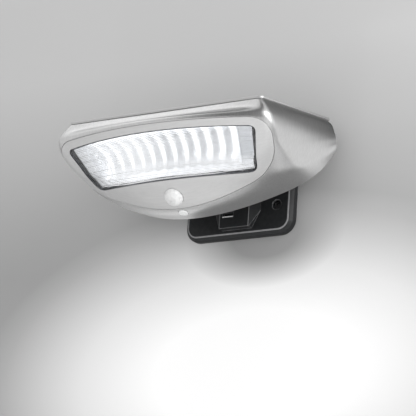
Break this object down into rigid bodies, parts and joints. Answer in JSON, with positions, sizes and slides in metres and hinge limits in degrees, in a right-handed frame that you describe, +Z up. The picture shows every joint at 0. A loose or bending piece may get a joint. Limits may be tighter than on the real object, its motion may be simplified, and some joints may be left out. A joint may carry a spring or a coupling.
{
  "type": "solar flood light",
  "caption": "Solar wall flood light: coved brushed-steel head with a solar panel on top, curved ribbed lens, motion sensor dome and button, hung on a plastic wall bracket.",
  "frame": {"origin": "centre of the wall bracket's back face, on the wall", "axes": "+X to the right seen from in front of the lamp, +Y into the wall, +Z up; the lens faces -Y and down"},
  "size_m": [0.2774, 0.2142, 0.1273],
  "materials": {
    "black_plastic": "fine-grained moulding",
    "brushed_steel": "satin brushed",
    "satin_silver": "satin silver paint",
    "clear_acrylic": "clear, ribbed",
    "grey_rubber": "soft",
    "chromed_reflector": "vacuum metallised",
    "white_board": "solder mask",
    "led": "milky resin",
    "milky_polythene": "faceted inside",
    "inner_black": "plain",
    "nickel": "plated",
    "green_board": "solder mask",
    "clear_silicone": "translucent",
    "polished_steel": "polished edge",
    "black_rubber": "soft",
    "panel_glass": "clear",
    "silicon": "dark blue",
    "white_sheet": "plain",
    "cover_black": "fine-grained moulding",
    "battery": "plastic sleeve"
  },
  "bodies": {
    "bracket": {"wall_bracket": "black_plastic"},
    "head": {"back_cover": "cover_black", "battery_1": "battery", "battery_2": "battery", "battery_3": "battery", "battery_door": "cover_black", "battery_holder": "inner_black", "contact_left": "nickel", "contact_right": "nickel", "control_board": "green_board", "fascia": "satin_silver", "led_01": "led", "led_02": "led", "led_03": "led", "led_04": "led", "led_05": "led", "led_06": "led", "led_07": "led", "led_08": "led", "led_09": "led", "led_10": "led", "led_11": "led", "led_12": "led", "led_board": "white_board", "lens": "clear_acrylic", "lens_seal": "grey_rubber", "panel_backsheet": "white_sheet", "panel_gasket": "black_rubber", "panel_glass": "panel_glass", "panel_tray": "inner_black", "pir_dome": "milky_polythene", "pir_holder": "inner_black", "pir_sensor": "nickel", "reflector": "chromed_reflector", "rim_frame": "polished_steel", "sensor_board": "green_board", "shell": "brushed_steel", "solar_cells": "silicon", "switch_board": "green_board", "tact_switch": "inner_black"},
    "button": {"mode_button": "clear_silicone"}
  },
  "joints": [
    {"name": "head_lift", "type": "slide", "parent": "bracket", "child": "head", "axis": [0, 0, 1], "range_m": [0, 0.031]},
    {"name": "button_press", "type": "slide", "parent": "head", "child": "button", "axis": [0, 0.1826, 0.9832], "range_m": [0, 0.0012], "stiffness_N_per_m": 1000}
  ]
}
